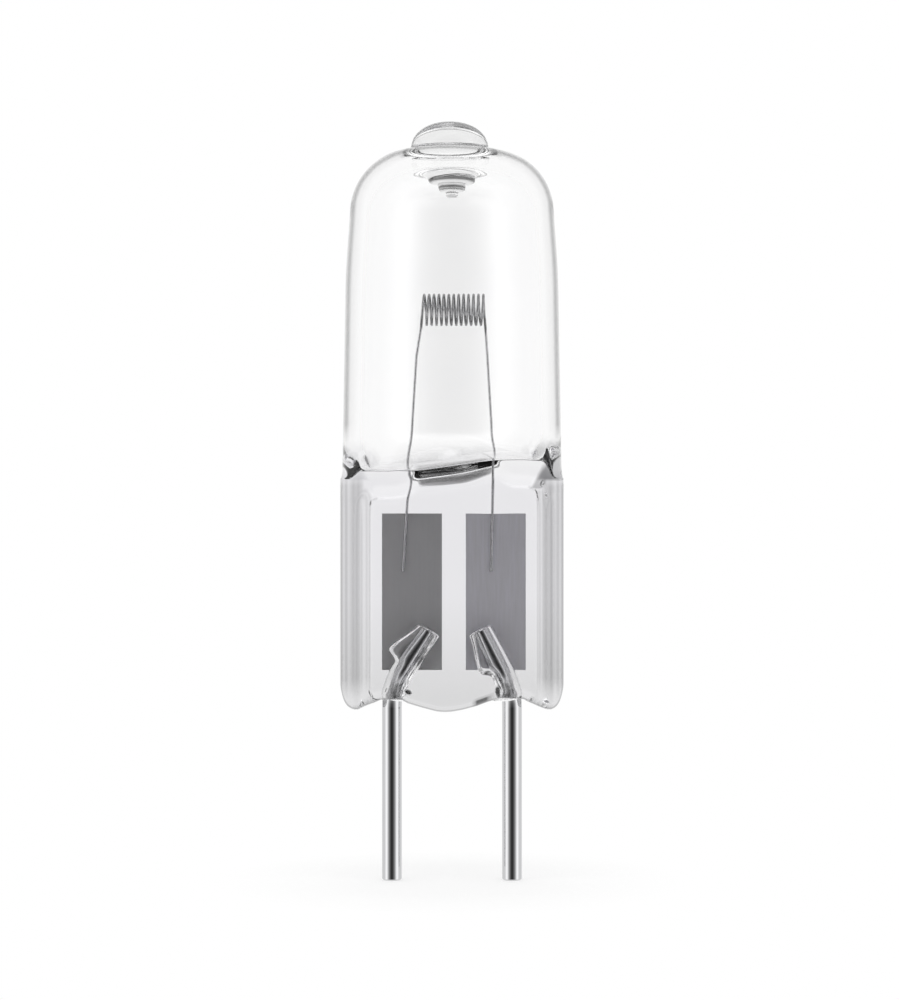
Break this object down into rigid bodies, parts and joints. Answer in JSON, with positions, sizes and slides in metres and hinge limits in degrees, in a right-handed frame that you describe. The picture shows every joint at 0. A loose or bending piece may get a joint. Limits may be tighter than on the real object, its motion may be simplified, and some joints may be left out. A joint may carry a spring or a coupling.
{
  "type": "halogen capsule bulb",
  "caption": "Small clear quartz capsule lamp with a round bulb, a melted tip, a coiled filament, a flat pinch seal with foils, and straight contact pins.",
  "frame": {"origin": "on the lamp's axis, level with the free ends of the two pins", "axes": "+Z along the lamp's axis from the pins to the exhaust tip, +X from the left pin to the right pin, -Y the side from which the pins lie in front of the foils"},
  "size_m": [0.0118, 0.0116, 0.0401],
  "materials": {
    "quartz": "clear fused quartz, fire polished",
    "tungsten": "drawn tungsten wire",
    "molybdenum_foil": "rolled and etched, dull grey",
    "pin_metal": "drawn and polished"
  },
  "bodies": {
    "root": {"envelope": "quartz", "filament": "tungsten", "foil_left": "molybdenum_foil", "foil_right": "molybdenum_foil", "pin_left": "pin_metal", "pin_right": "pin_metal"}
  },
  "joints": []
}
